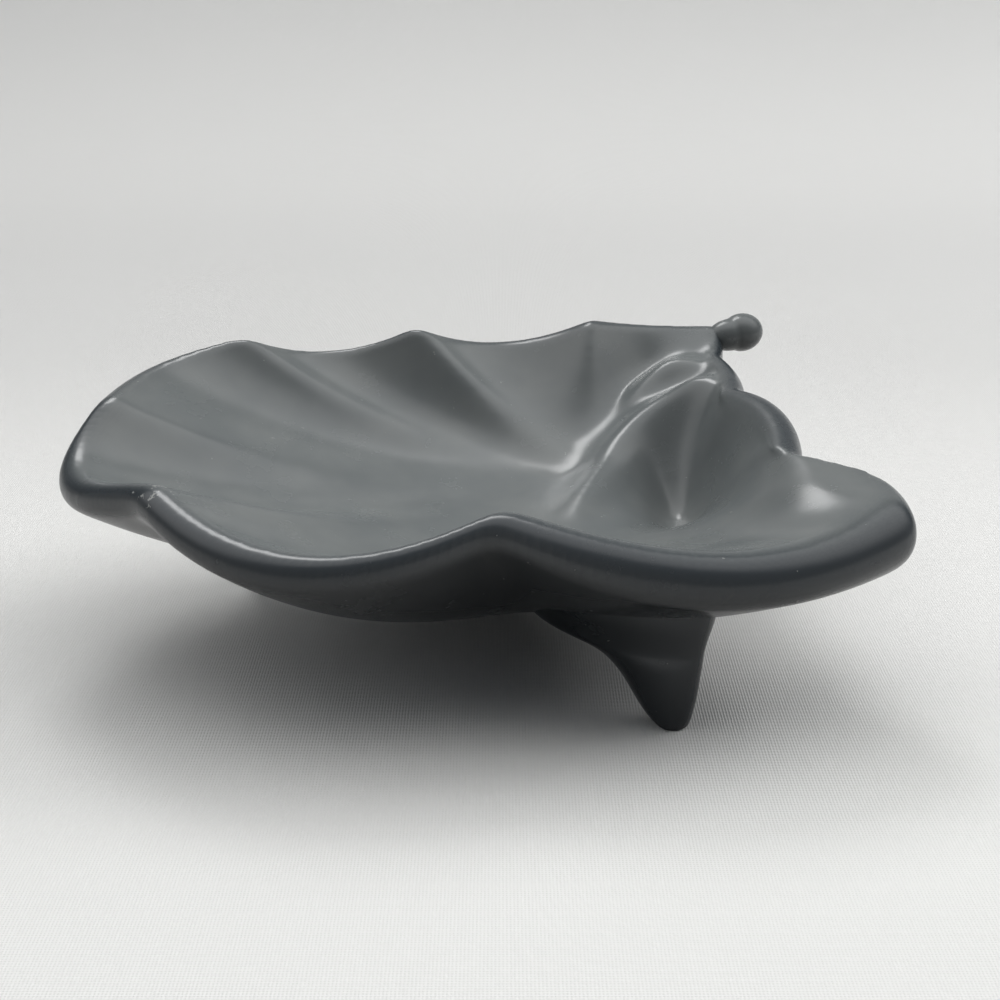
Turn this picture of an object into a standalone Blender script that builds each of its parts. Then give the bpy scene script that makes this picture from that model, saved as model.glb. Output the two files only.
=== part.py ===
"""Shell soap dish in glazed ceramic.

A conch is laid open as a dish. Its flared lip spreads to the left as a fluted fan, its whorls step down
the right-hand side, and its canal runs out to a blunt horn at the front right. A knob is set on at the
apex, and three tapered feet carry the dish.

The long side lies along X, the back is at +Y and the table is at Z = 0.
"""
import math
from collections import namedtuple

import bmesh
import bpy
import numpy as np
from mathutils import Vector

# Overall sizes, in metres
LENGTH = 0.148
DEPTH = 0.117
RIM_HEIGHT = 0.048

# Wall thicknesses
RIM_WALL = 0.0068
HORN_WALL = 0.0130
FLOOR_WALL = 0.0060

# Knob at the apex, with a neck that is stepped in all round
KNOB_DIAMETER = 0.0084
KNOB_LENGTH = 0.0094
KNOB_NECK_INSET = 0.0006
KNOB_REACH = 0.0110

# Feet: how wide a foot is at its root, and how thick it is there from front to back
FOOT_ROOT_WIDTH = 0.034
FOOT_ROOT_THICKNESS = 0.024

# Gap that pieces which touch keep between their surfaces
JOINT_GAP = 0.0003

# Points of the turned outline that lie closer than this are one
MERGE_DISTANCE = 0.00001

# Hub: the place in plan that every flute and whorl runs out from, and how high the wall's middle lies
# there, as shares of the length and the depth from the middle of the dish, and of the rim height
HUB_SHARES = (0.164, 0.118, 0.44)

# How steeply the floor climbs towards the right and the back
FLOOR_SLOPE_SHARES = (0.02, 0.16)

# A crest is a notch of the rim with a ridge that fades as it runs down to the hub. Its x, y and z place the
# centre of the rolled rim, as shares of the length and the depth from the middle and of the rim height.
# Its heft says how far the rim has grown from its own thickness to the horn's. Its inner and under are the
# powers by which the inside and the underside climb from the hub to the rim, and its fade is the power by
# which its ridge dies away inwards.
Crest = namedtuple("Crest", "x y z heft inner under fade")

# A lobe is the stretch of rim from one crest to the next. Its bulge is how far it bows out, and its dip how
# far it sinks, both as shares of its chord. Its lean moves the bow towards the next crest when over 1.
Lobe = namedtuple("Lobe", "bulge dip lean heft inner under fade")

# Going round from the front notch, along the fan, past the apex and down the whorls to the horn
RIM_SHARES = (
    (Crest(0.032, -0.399, 0.785, 0.05, 2.2, 3.6, 1), Lobe(0.22, 0.09, 1.0, 0.05, 2.6, 3.6, 0)),
    (Crest(-0.349, -0.320, 0.795, 0.00, 1.9, 2.6, 0), Lobe(0.215, 0.15, 1.4, 0.00, 2.4, 2.8, 0)),
    (Crest(-0.459, 0.005, 0.860, 0.00, 2.3, 2.9, 0), Lobe(0.18, 0.03, 1.2, 0.00, 2.5, 3.1, 0)),
    (Crest(-0.319, 0.273, 0.935, 0.00, 2.2, 2.9, 0), Lobe(0.08, 0.13, 1.0, 0.00, 2.3, 3.2, 0)),
    (Crest(-0.084, 0.340, 0.935, 0.00, 1.45, 2.8, 0), Lobe(0.08, 0.13, 1.0, 0.00, 1.8, 3.0, 0)),
    (Crest(0.162, 0.386, 0.940, 0.00, 1.5, 2.4, 0), Lobe(0.08, 0.04, 1.0, 0.00, 1.5, 2.5, 1)),
    (Crest(0.347, 0.441, 0.880, 0.00, 1.4, 2.3, 3), Lobe(0.02, 0.10, 1.0, 0.00, 1.6, 2.0, 5)),
    (Crest(0.334, 0.346, 0.810, 0.00, 2.0, 2.0, 6), Lobe(0.06, 0.00, 1.0, 0.00, 2.2, 2.2, 6)),
    (Crest(0.339, 0.159, 0.790, 0.00, 2.4, 2.4, 6), Lobe(0.10, -0.02, 1.0, 0.50, 2.4, 3.2, 6)),
    (Crest(0.370, -0.114, 0.722, 0.50, 1.9, 3.4, 5), Lobe(0.19, -0.03, 1.35, 0.65, 1.7, 3.2, 4)),
    (Crest(0.469, -0.303, 0.679, 1.00, 1.4, 3.0, 3), Lobe(0.183, 0.06, 1.0, 0.50, 2.4, 3.4, 2)),
)
APEX_CREST = 6

# Swells of the inside: soft ridges and hollows, each a chain of points in plan. A point has its x and y as
# shares of the length and the depth from the middle, its lift as a share of the rim height, under 0 for a
# hollow, and its spread as a share of the depth. The swells die away towards the rim by a power.
Swell = namedtuple("Swell", "x y lift spread")
SWELL_SHARES = {
    "columella": (Swell(0.116, -0.050, 0.020, 0.045), Swell(0.141, 0.030, 0.060, 0.042),
                  Swell(0.166, 0.100, 0.080, 0.040), Swell(0.196, 0.175, 0.090, 0.038),
                  Swell(0.236, 0.230, 0.110, 0.036), Swell(0.291, 0.250, 0.130, 0.036),
                  Swell(0.341, 0.220, 0.110, 0.036), Swell(0.366, 0.150, 0.060, 0.034)),
    "upper_whorl": (Swell(0.211, 0.285, 0.040, 0.034), Swell(0.266, 0.335, 0.090, 0.032),
                    Swell(0.326, 0.330, 0.090, 0.030)),
    "apex_groove": (Swell(0.126, 0.210, -0.030, 0.040), Swell(0.191, 0.310, -0.060, 0.034),
                    Swell(0.261, 0.400, -0.090, 0.034)),
    "whorl_hollow": (Swell(0.281, 0.155, -0.300, 0.060), Swell(0.281, 0.070, -0.280, 0.068),
                     Swell(0.271, -0.020, -0.140, 0.075), Swell(0.236, -0.070, -0.040, 0.080)),
    "horn_top": (Swell(0.386, -0.070, 0.110, 0.060), Swell(0.381, -0.140, 0.130, 0.070),
                 Swell(0.406, -0.230, 0.130, 0.078), Swell(0.426, -0.280, 0.080, 0.078)),
}
SWELL_STEPS = 4
SWELL_POWER = 8

# The underside falls to the same height all round, a share of the rim height
UNDER_LOW_SHARE = 0.26

# How far a place on the rim is blended with its neighbours, as a share of a turn of the whole rim over
# tau: at the rim, where the notches stay crisp, and at the hub, where the flutes have died away
RIM_BLEND_SHARE = 0.018
HUB_BLEND_SHARE = 0.36

# Steps of the loft: from crest to crest, along a spoke inside and below, and round the rolled rim. The
# rings crowd towards the rim by a power under 1, and the slope at a ring is taken over a step either side.
LOBE_STEPS = 9
INSIDE_STEPS = 15
ROLL_STEPS = 6
UNDER_STEPS = 8
RIM_CROWDING = 0.85
SLOPE_STEP_SHARE = 1 / 64

# Way that the knob points from the apex crest, and the steps of its turned outline
KNOB_WAY = (0.92, 0.38, 0.08)
KNOB_ARC_STEPS = 8
KNOB_TURNS = 24

# A foot's form runs on into the dish, where it is cut, up to this share of the rim height
FOOT_TOP_SHARE = 0.71

# Sections of a foot from the table up: height, how far it reaches to its outer and its inner side, and
# its thickness, as shares of the form's height, of the root width twice and of the root thickness
FOOT_SHARES = (
    (0.000, 0.051, 0.074, 0.20),
    (0.014, 0.066, 0.105, 0.24),
    (0.045, 0.080, 0.155, 0.27),
    (0.103, 0.094, 0.212, 0.31),
    (0.182, 0.109, 0.268, 0.36),
    (0.258, 0.118, 0.329, 0.41),
    (0.323, 0.126, 0.406, 0.46),
    (0.364, 0.132, 0.491, 0.49),
    (0.390, 0.136, 0.600, 0.51),
    (0.410, 0.140, 0.730, 0.53),
    (0.440, 0.146, 0.860, 0.56),
    (0.540, 0.168, 0.930, 0.66),
    (0.640, 0.190, 0.960, 0.80),
    (1.000, 0.200, 1.000, 0.90),
)
FOOT_SIDES = 20
FOOT_EDGE_DEGREES = 50

# Where each foot stands: shares of the length and the depth from the middle, and the turn of its outer
# side from +X in degrees
FOOT_PLACE_SHARES = {
    "front_foot": (0.234, -0.363, -35),
    "back_left_foot": (-0.289, 0.174, 174),
    "back_right_foot": (0.241, 0.225, 45),
}

# Slate glaze: its colour as linear red, green and blue, and its roughness
GLAZE_COLOUR = (0.10, 0.115, 0.12)
GLAZE_ROUGHNESS = 0.12

def crest_point(crest):
    """Centre of the rolled rim at a crest."""
    return Vector((crest.x * LENGTH, crest.y * DEPTH, crest.z * RIM_HEIGHT))


def rim_row(index, share):
    """Centre, wall and climbs of the rim, a share of the way from crest number index to the next."""
    crest, lobe = RIM_SHARES[index]
    other = RIM_SHARES[(index + 1) % len(RIM_SHARES)][0]
    start, end = crest_point(crest), crest_point(other)
    chord = (end - start).to_2d()
    outward = Vector((-chord.y, chord.x, 0)).normalized()
    leant = share ** lobe.lean
    bow = 4 * leant * (1 - leant)
    rim = start.lerp(end, share) + outward * lobe.bulge * chord.length * bow
    rim.z -= lobe.dip * chord.length * bow
    heft, *powers = ((a + (b - a) * share) * (1 - bow) + c * bow
                     for a, b, c in zip(crest[3:], other[3:], lobe[3:]))
    return (*rim, RIM_WALL + (HORN_WALL - RIM_WALL) * heft, *powers)


def rim_table():
    """Rows of the rim all round the dish, from the front notch."""
    places = [(index, step / LOBE_STEPS) for index in range(len(RIM_SHARES)) for step in range(LOBE_STEPS)]
    return np.array([rim_row(index, share) for index, share in places])


def blended(table, blend):
    """The rim's rows, each blended with its neighbours."""
    waves = np.fft.rfft(table, axis=0)
    order = np.arange(len(waves))[:, None]
    return np.fft.irfft(waves * np.exp(-(order * blend) ** 2 / 2), n=len(table), axis=0)


def softened(table, share):
    """The rim's rows as the wall follows them: the nearer it is to the hub, the softer its flutes are."""
    calm = blended(table, HUB_BLEND_SHARE)
    blend = RIM_BLEND_SHARE + (HUB_BLEND_SHARE - RIM_BLEND_SHARE) * (1 - share) ** 2
    fade = calm[:, 6:].clip(0)
    return calm + (blended(table, blend) - calm) * min(1, share) ** fade


def hub_point():
    """Middle of the wall at the hub."""
    x_share, y_share, z_share = HUB_SHARES
    return np.array((x_share * LENGTH, y_share * DEPTH, z_share * RIM_HEIGHT))


def swell_points():
    """Points along every swell with their lifts and spreads, each lift shared out along its chain."""
    points = []
    for chain in SWELL_SHARES.values():
        for start, end in zip(chain, chain[1:]):
            length = math.dist((start.x * LENGTH, start.y * DEPTH), (end.x * LENGTH, end.y * DEPTH))
            for step in range(SWELL_STEPS):
                share = (step + 0.5) / SWELL_STEPS
                x, y, lift, spread = (a + (b - a) * share for a, b in zip(start, end))
                spread *= DEPTH
                lift *= RIM_HEIGHT * length / SWELL_STEPS / (spread * math.sqrt(math.pi))
                points.append((x * LENGTH, y * DEPTH, lift, spread))
    return points


def swell_heights(ring):
    """Heights that the swells add to a ring of points of the inside."""
    heights = np.zeros(len(ring))
    for x, y, lift, spread in swell_points():
        heights += lift * np.exp(-((ring[:, 0] - x) ** 2 + (ring[:, 1] - y) ** 2) / spread ** 2)
    return heights


def floor_heights(ring):
    """Heights of the tilted floor's middle below a ring of points."""
    hub = hub_point()
    right, back = FLOOR_SLOPE_SHARES
    return hub[2] + right * (ring[:, 0] - hub[0]) + back * (ring[:, 1] - hub[1])


def mid_ring(table, share):
    """Ring of the wall's middle as the inside follows it, a share of the way from the hub to the rim."""
    rows = softened(table, share)
    rim, inner = rows[:, :3], rows[:, 4]
    ring = hub_point() + (rim - hub_point()) * share
    ring[:, 2] = floor_heights(ring) + (rim[:, 2] - floor_heights(rim)) * share ** inner
    return ring


def under_ring(table, share):
    """Ring of the wall's middle as the plainer underside follows it."""
    rows = softened(table, share)
    rim, under = rows[:, :3], rows[:, 5]
    low = UNDER_LOW_SHARE * RIM_HEIGHT
    ring = hub_point() + (rim - hub_point()) * share
    ring[:, 2] = low + (rim[:, 2] - low) * share ** under
    return ring


def unit(ways):
    """Ways of length 1."""
    return ways / np.linalg.norm(ways, axis=1)[:, None]


def wall_ways(curve, table, share):
    """Upward ways out of the wall's middle: straight up at the hub, square to the curve at the rim."""
    before, after = max(0, share - SLOPE_STEP_SHARE), min(1, share + SLOPE_STEP_SHARE)
    along = curve(table, after) - curve(table, before)
    run = np.hypot(along[:, 0], along[:, 1])
    square = unit(np.column_stack((-along[:, :2] * (along[:, 2] / run)[:, None], run)))
    return unit(square * share + np.array((0, 0, 1 - share)))


def half_walls(table, share):
    """Half of the wall's thickness, which grows from the floor to the rim."""
    wall = softened(table, share)[:, 3]
    return ((FLOOR_WALL + (wall - FLOOR_WALL) * share * share) / 2)[:, None]


def roll_rings(table, growth):
    """Rings round the rolled rim, from the inside over its edge to the underside."""
    rows = softened(table, 1)
    rim = rows[:, :3]
    outward = rim - hub_point()
    outward[:, 2] = 0
    outward = unit(outward)
    top, bottom = wall_ways(mid_ring, table, 1), -wall_ways(under_ring, table, 1)
    start = np.arctan2(top[:, 2], (top * outward).sum(axis=1))
    end = np.arctan2(bottom[:, 2], (bottom * outward).sum(axis=1))
    rings = []
    for step in range(ROLL_STEPS + 1):
        angle = (start + (end - start) * step / ROLL_STEPS)[:, None]
        reach = outward * np.cos(angle) + np.array((0, 0, 1)) * np.sin(angle)
        rings.append(rim + reach * (half_walls(table, 1) + growth))
    return rings


def dish_rings(growth=0, filled=False):
    """Rings of the dish's surface from the hub over the rolled rim and back below.

    A filled dish runs straight across from the rim instead of down into the bowl.
    """
    table = rim_table()
    rings = []
    for step in range(1, INSIDE_STEPS):
        share = (step / INSIDE_STEPS) ** RIM_CROWDING
        lift = wall_ways(mid_ring, table, share) * (half_walls(table, share) + growth)
        ring = mid_ring(table, share) + lift
        ring[:, 2] += swell_heights(ring) * (1 - share ** SWELL_POWER)
        if filled:
            ring[:, 2] = softened(table, share)[:, 2] + lift[:, 2]
        rings.append(ring)
    rings += roll_rings(table, growth)
    for step in range(1, UNDER_STEPS):
        share = (1 - step / UNDER_STEPS) ** RIM_CROWDING
        drop = wall_ways(under_ring, table, share) * (half_walls(table, share) + growth)
        rings.append(under_ring(table, share) - drop)
    return rings


def make_dish(name, collection, growth=0, filled=False):
    """Loft the rings and close them at the hub above and below."""
    mesh = bpy.data.meshes.new(name)
    loft = bmesh.new()
    rings = [[loft.verts.new(point) for point in ring] for ring in dish_rings(growth, filled)]
    half_floor = FLOOR_WALL / 2 + growth
    crown = hub_point()
    crown[2] += half_floor + swell_heights(crown[None])[0]
    if filled:
        crown[2] = RIM_HEIGHT
    keel = hub_point()
    keel[2] = UNDER_LOW_SHARE * RIM_HEIGHT - half_floor
    crown, keel = loft.verts.new(crown), loft.verts.new(keel)
    for place in range(len(rings[0])):
        after = (place + 1) % len(rings[0])
        loft.faces.new((crown, rings[0][place], rings[0][after]))
        for ring, outer in zip(rings, rings[1:]):
            loft.faces.new((ring[place], outer[place], outer[after], ring[after]))
        loft.faces.new((rings[-1][place], keel, rings[-1][after]))
    bmesh.ops.recalc_face_normals(loft, faces=loft.faces)
    loft.to_mesh(mesh)
    loft.free()
    mesh.materials.append(glaze(name + "_glaze"))
    mesh.shade_smooth()
    dish = bpy.data.objects.new(name, mesh)
    collection.objects.link(dish)
    return dish


def cut(piece, cutter):
    """Cut a piece to the surface of a cutter."""
    boolean = piece.modifiers.new("cut_to_seat", "BOOLEAN")
    boolean.operation = "DIFFERENCE"
    boolean.object = cutter


def knob_profile():
    """Outline of the knob from the middle of its end down its outer side to its root."""
    radius = KNOB_DIAMETER / 2
    neck = radius - KNOB_NECK_INSET
    half_length = KNOB_LENGTH / 2
    centre = KNOB_REACH - half_length
    meet = math.asin(neck / radius)
    outline = []
    for step in range(KNOB_ARC_STEPS + 1):
        angle = (math.pi - meet) * step / KNOB_ARC_STEPS
        outline.append(Vector((radius * math.sin(angle), 0, centre + half_length * math.cos(angle))))
    outline[0].x = 0
    outline.append(Vector((neck, 0, 0)))
    outline.append(Vector((0, 0, 0)))
    return outline


def make_knob(collection, dish, seat):
    """Turn the knob and set it on the rim at the apex."""
    mesh = bpy.data.meshes.new("apex_knob")
    outline = knob_profile()
    mesh.from_pydata(outline, [(i, i + 1) for i in range(len(outline) - 1)], [])
    mesh.materials.append(glaze("apex_knob_glaze"))
    knob = bpy.data.objects.new("apex_knob", mesh)
    collection.objects.link(knob)
    turn = knob.modifiers.new("turn", "SCREW")
    turn.steps = KNOB_TURNS
    turn.render_steps = KNOB_TURNS
    turn.use_merge_vertices = True
    turn.merge_threshold = MERGE_DISTANCE
    turn.use_smooth_shade = True
    knob.parent = dish
    knob.location = crest_point(RIM_SHARES[APEX_CREST][0])
    knob.rotation_euler = Vector(KNOB_WAY).to_track_quat("Z", "Y").to_euler()
    cut(knob, seat)


def make_foot(name, collection, dish, seat):
    """Loft a foot from its flat sole to its root and cut the root to the underside."""
    x_share, y_share, turn = FOOT_PLACE_SHARES[name]
    form = bmesh.new()
    rings = []
    for height, outer, inner, thickness in FOOT_SHARES:
        half_width = (outer + inner) / 2 * FOOT_ROOT_WIDTH
        middle = (outer - inner) / 2 * FOOT_ROOT_WIDTH
        half_depth = thickness * FOOT_ROOT_THICKNESS / 2
        ring = []
        for side in range(FOOT_SIDES):
            angle = math.tau * side / FOOT_SIDES
            ring.append(form.verts.new((middle + half_width * math.cos(angle),
                                        half_depth * math.sin(angle),
                                        height * FOOT_TOP_SHARE * RIM_HEIGHT)))
        rings.append(ring)
    for ring, above in zip(rings, rings[1:]):
        for side in range(FOOT_SIDES):
            after = (side + 1) % FOOT_SIDES
            form.faces.new((ring[side], ring[after], above[after], above[side]))
    form.faces.new(rings[0][::-1])
    form.faces.new(rings[-1])
    mesh = bpy.data.meshes.new(name)
    form.to_mesh(mesh)
    form.free()
    mesh.materials.append(glaze(name + "_glaze"))
    mesh.shade_smooth()
    mesh.set_sharp_from_angle(angle=math.radians(FOOT_EDGE_DEGREES))
    foot = bpy.data.objects.new(name, mesh)
    collection.objects.link(foot)
    foot.parent = dish
    foot.location = (x_share * LENGTH, y_share * DEPTH, 0)
    foot.rotation_euler = (0, 0, math.radians(turn))
    cut(foot, seat)


def glaze(name):
    """Glossy slate glaze for one piece."""
    material = bpy.data.materials.new(name)
    material.use_nodes = True
    shader = material.node_tree.nodes["Principled BSDF"]
    shader.inputs["Base Color"].default_value = (*GLAZE_COLOUR, 1)
    shader.inputs["Roughness"].default_value = GLAZE_ROUGHNESS
    shader.inputs["Metallic"].default_value = 0
    return material


def clear_scene():
    """Remove every object that the scene holds."""
    for thing in list(bpy.data.objects):
        bpy.data.objects.remove(thing, do_unlink=True)


def main():
    """Make the dish, then the knob and the feet that are seated on it."""
    clear_scene()
    parts = bpy.data.collections.new("shell_soap_dish")
    cutters = bpy.data.collections.new("cutters")
    bpy.context.scene.collection.children.link(parts)
    bpy.context.scene.collection.children.link(cutters)
    dish = make_dish("shell_dish", parts)
    seat = make_dish("seat_cutter", cutters, growth=JOINT_GAP, filled=True)
    seat.hide_render = True
    seat.display_type = "WIRE"
    make_knob(parts, dish, seat)
    for name in FOOT_PLACE_SHARES:
        make_foot(name, parts, dish, seat)


main()
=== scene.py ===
"""Shell soap dish in slate glaze.

A conch is laid open as a dish. The bowl, the knob at the apex and the three feet are lofted and turned
finely, glazed, and set on a pale cloth sweep under soft light. Everything is in metres, in the frame of
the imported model: the long side along X, the back at +Y, the table at Z = 0.
"""

import math
from collections import namedtuple

import bmesh
import bpy
import numpy as np
from bpy.props import FloatProperty, FloatVectorProperty, PointerProperty
from mathutils import Matrix, Vector
from mathutils.bvhtree import BVHTree
from mathutils.kdtree import KDTree


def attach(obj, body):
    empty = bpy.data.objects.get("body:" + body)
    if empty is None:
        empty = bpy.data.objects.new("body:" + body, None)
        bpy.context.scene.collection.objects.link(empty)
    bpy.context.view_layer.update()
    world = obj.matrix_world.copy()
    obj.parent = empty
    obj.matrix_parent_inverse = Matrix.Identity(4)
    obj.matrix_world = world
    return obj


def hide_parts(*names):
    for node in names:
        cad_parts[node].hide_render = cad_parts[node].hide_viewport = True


bl_info = {
    "name": "Shell soap dish",
    "version": (1, 0, 0),
    "blender": (4, 5, 0),
    "location": "View3D > Sidebar > Soap dish",
    "description": "Models and glazes a shell soap dish over its packed frame",
    "category": "Object",
}

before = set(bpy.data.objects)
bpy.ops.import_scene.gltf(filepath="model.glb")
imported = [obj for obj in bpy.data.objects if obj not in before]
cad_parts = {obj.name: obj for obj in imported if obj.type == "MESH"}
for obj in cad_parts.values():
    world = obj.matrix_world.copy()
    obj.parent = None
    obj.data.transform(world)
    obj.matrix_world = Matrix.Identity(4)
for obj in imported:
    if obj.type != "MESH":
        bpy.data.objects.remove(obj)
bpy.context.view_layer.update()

# Hub: the place in plan that every flute and whorl runs out from, and how high the wall's middle lies
# there, as shares of the length and the depth from the middle of the dish, and of the rim height
HUB_SHARES = (0.164, 0.118, 0.44)

# How steeply the floor climbs towards the right and the back
FLOOR_SLOPE_SHARES = (0.02, 0.16)

# A crest is a notch of the rim with a ridge that fades as it runs down to the hub. Its x, y and z place the
# centre of the rolled rim, as shares of the length and the depth from the middle and of the rim height.
# Its heft says how far the rim has grown from its own thickness to the horn's. Its inner and under are the
# powers by which the inside and the underside climb from the hub to the rim, and its fade is the power by
# which its ridge dies away inwards.
Crest = namedtuple("Crest", "x y z heft inner under fade")

# A lobe is the stretch of rim from one crest to the next. Its bulge is how far it bows out, and its dip how
# far it sinks, both as shares of its chord. Its lean moves the bow towards the next crest when over 1.
Lobe = namedtuple("Lobe", "bulge dip lean heft inner under fade")

# Going round from the front notch, along the fan, past the apex and down the whorls to the horn
RIM_SHARES = (
    (Crest(0.032, -0.399, 0.785, 0.05, 2.2, 3.6, 1), Lobe(0.22, 0.09, 1.0, 0.05, 2.6, 3.6, 0)),
    (Crest(-0.349, -0.320, 0.795, 0.00, 1.9, 2.6, 0), Lobe(0.215, 0.15, 1.4, 0.00, 2.4, 2.8, 0)),
    (Crest(-0.459, 0.005, 0.860, 0.00, 2.3, 2.9, 0), Lobe(0.18, 0.03, 1.2, 0.00, 2.5, 3.1, 0)),
    (Crest(-0.319, 0.273, 0.935, 0.00, 2.2, 2.9, 0), Lobe(0.08, 0.13, 1.0, 0.00, 2.3, 3.2, 0)),
    (Crest(-0.084, 0.340, 0.935, 0.00, 1.45, 2.8, 0), Lobe(0.08, 0.13, 1.0, 0.00, 1.8, 3.0, 0)),
    (Crest(0.162, 0.386, 0.940, 0.00, 1.5, 2.4, 0), Lobe(0.08, 0.04, 1.0, 0.00, 1.5, 2.5, 1)),
    (Crest(0.347, 0.441, 0.880, 0.00, 1.4, 2.3, 3), Lobe(0.02, 0.10, 1.0, 0.00, 1.6, 2.0, 5)),
    (Crest(0.334, 0.346, 0.810, 0.00, 2.0, 2.0, 6), Lobe(0.06, 0.00, 1.0, 0.00, 2.2, 2.2, 6)),
    (Crest(0.339, 0.159, 0.790, 0.00, 2.4, 2.4, 6), Lobe(0.10, -0.02, 1.0, 0.50, 2.4, 3.2, 6)),
    (Crest(0.370, -0.114, 0.722, 0.50, 1.9, 3.4, 5), Lobe(0.19, -0.03, 1.35, 0.65, 1.7, 3.2, 4)),
    (Crest(0.469, -0.303, 0.679, 1.00, 1.4, 3.0, 3), Lobe(0.183, 0.06, 1.0, 0.50, 2.4, 3.4, 2)),
)
APEX_CREST = 6

# Swells of the inside: soft ridges and hollows, each a chain of points in plan. A point has its x and y as
# shares of the length and the depth from the middle, its lift as a share of the rim height, under 0 for a
# hollow, and its spread as a share of the depth. The swells die away towards the rim by a power.
Swell = namedtuple("Swell", "x y lift spread")
SWELL_SHARES = {
    "columella": (Swell(0.116, -0.050, 0.020, 0.045), Swell(0.141, 0.030, 0.060, 0.042),
                  Swell(0.166, 0.100, 0.080, 0.040), Swell(0.196, 0.175, 0.090, 0.038),
                  Swell(0.236, 0.230, 0.110, 0.036), Swell(0.291, 0.250, 0.130, 0.036),
                  Swell(0.341, 0.220, 0.110, 0.036), Swell(0.366, 0.150, 0.060, 0.034)),
    "upper_whorl": (Swell(0.211, 0.285, 0.040, 0.034), Swell(0.266, 0.335, 0.090, 0.032),
                    Swell(0.326, 0.330, 0.090, 0.030)),
    "apex_groove": (Swell(0.126, 0.210, -0.030, 0.040), Swell(0.191, 0.310, -0.060, 0.034),
                    Swell(0.261, 0.400, -0.090, 0.034)),
    "whorl_hollow": (Swell(0.281, 0.155, -0.300, 0.060), Swell(0.281, 0.070, -0.280, 0.068),
                     Swell(0.271, -0.020, -0.140, 0.075), Swell(0.236, -0.070, -0.040, 0.080)),
    "horn_top": (Swell(0.386, -0.070, 0.110, 0.060), Swell(0.381, -0.140, 0.130, 0.070),
                 Swell(0.406, -0.230, 0.130, 0.078), Swell(0.426, -0.280, 0.080, 0.078)),
}
SWELL_STEPS = 4
SWELL_POWER = 8

# The underside falls to the same height all round, a share of the rim height
UNDER_LOW_SHARE = 0.26

# How far a place on the rim is blended with its neighbours, as a share of a turn of the whole rim over
# tau: at the rim, where the notches stay crisp, and at the hub, where the flutes have died away
RIM_BLEND_SHARE = 0.018
HUB_BLEND_SHARE = 0.36

# Steps of the loft: from crest to crest, along a spoke inside and below, and round the rolled rim. The
# rings crowd towards the rim by a power under 1, and the slope at a ring is taken over a step either side.
LOBE_STEPS = 36
INSIDE_STEPS = 90
ROLL_STEPS = 28
UNDER_STEPS = 40
RIM_CROWDING = 0.85
SLOPE_STEP_SHARE = 1 / 64

# Where the glaze is chipped, on the notch at the front left
CHIP_PLACE = (-0.0518, -0.0372, 0.0410)

# Name of the mark that says how far over the rim a place of the bowl lies, which steers the painted shade
RIM_TURN = "rim_turn"

# How far the glaze softens the notches and creases: the share of the way that a round moves a point, and
# how many rounds there are
GLAZE_SOFTENING = 0.5
GLAZE_ROUNDS = 34

# Way that the knob points from the apex crest, and the steps of its turned outline
KNOB_WAY = (0.92, 0.38, 0.08)
KNOB_ARC_STEPS = 20
KNOB_NECK_STEPS = 12
KNOB_TURNS = 72
MERGE_DISTANCE = 0.00001

# A foot's form runs on into the dish, where it is cut, up to this share of the rim height
FOOT_TOP_SHARE = 0.71

# Sections of a foot from the table up: height, how far it reaches to its outer and its inner side, and
# its thickness, as shares of the form's height, of the root width twice and of the root thickness
FOOT_SHARES = (
    (0.000, 0.051, 0.074, 0.20),
    (0.014, 0.066, 0.105, 0.24),
    (0.045, 0.080, 0.155, 0.27),
    (0.103, 0.094, 0.212, 0.31),
    (0.182, 0.109, 0.268, 0.36),
    (0.258, 0.118, 0.329, 0.41),
    (0.323, 0.126, 0.406, 0.46),
    (0.364, 0.132, 0.491, 0.49),
    (0.390, 0.136, 0.600, 0.51),
    (0.410, 0.140, 0.730, 0.53),
    (0.440, 0.146, 0.860, 0.56),
    (0.540, 0.168, 0.930, 0.66),
    (0.640, 0.190, 0.960, 0.80),
    (1.000, 0.200, 1.000, 0.90),
)
FOOT_SIDES = 64
FOOT_STEPS = 5
FOOT_EDGE_DEGREES = 50

# Where each foot stands: shares of the length and the depth from the middle, and the turn of its outer
# side from +X in degrees
FOOT_PLACE_SHARES = {
    "front_foot": (0.234, -0.363, -35),
    "back_left_foot": (-0.289, 0.174, 174),
    "back_right_foot": (0.241, 0.225, 45),
}

# The cloth sweep runs from its front edge back to a wall that it bends up to, as y and z in metres
SWEEP_FRONT = -2.0
SWEEP_BACK = 0.75
SWEEP_TOP = 1.1
SWEEP_BEND = 0.30
SWEEP_HALF_WIDTH = 2.0
SWEEP_BEND_STEPS = 12

# Place, width and depth of the two lamps, which both aim at the dish
WINDOW_BOX = ((0.85, 0.30, 0.62), 0.60, 0.60)
CEILING_LAMP = ((-0.15, 0.56, 0.82), 0.32, 0.32)

# Where the photograph was taken from, and the width of the camera's sensor in millimetres
CAMERA_PLACE = (0.00485, -0.2835, 0.132)
SENSOR_WIDTH = 36

# Way from the dish to the dim side of the room, where the camera stands
ROOM_WAY = (0.05, -0.98, -0.05)


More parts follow.
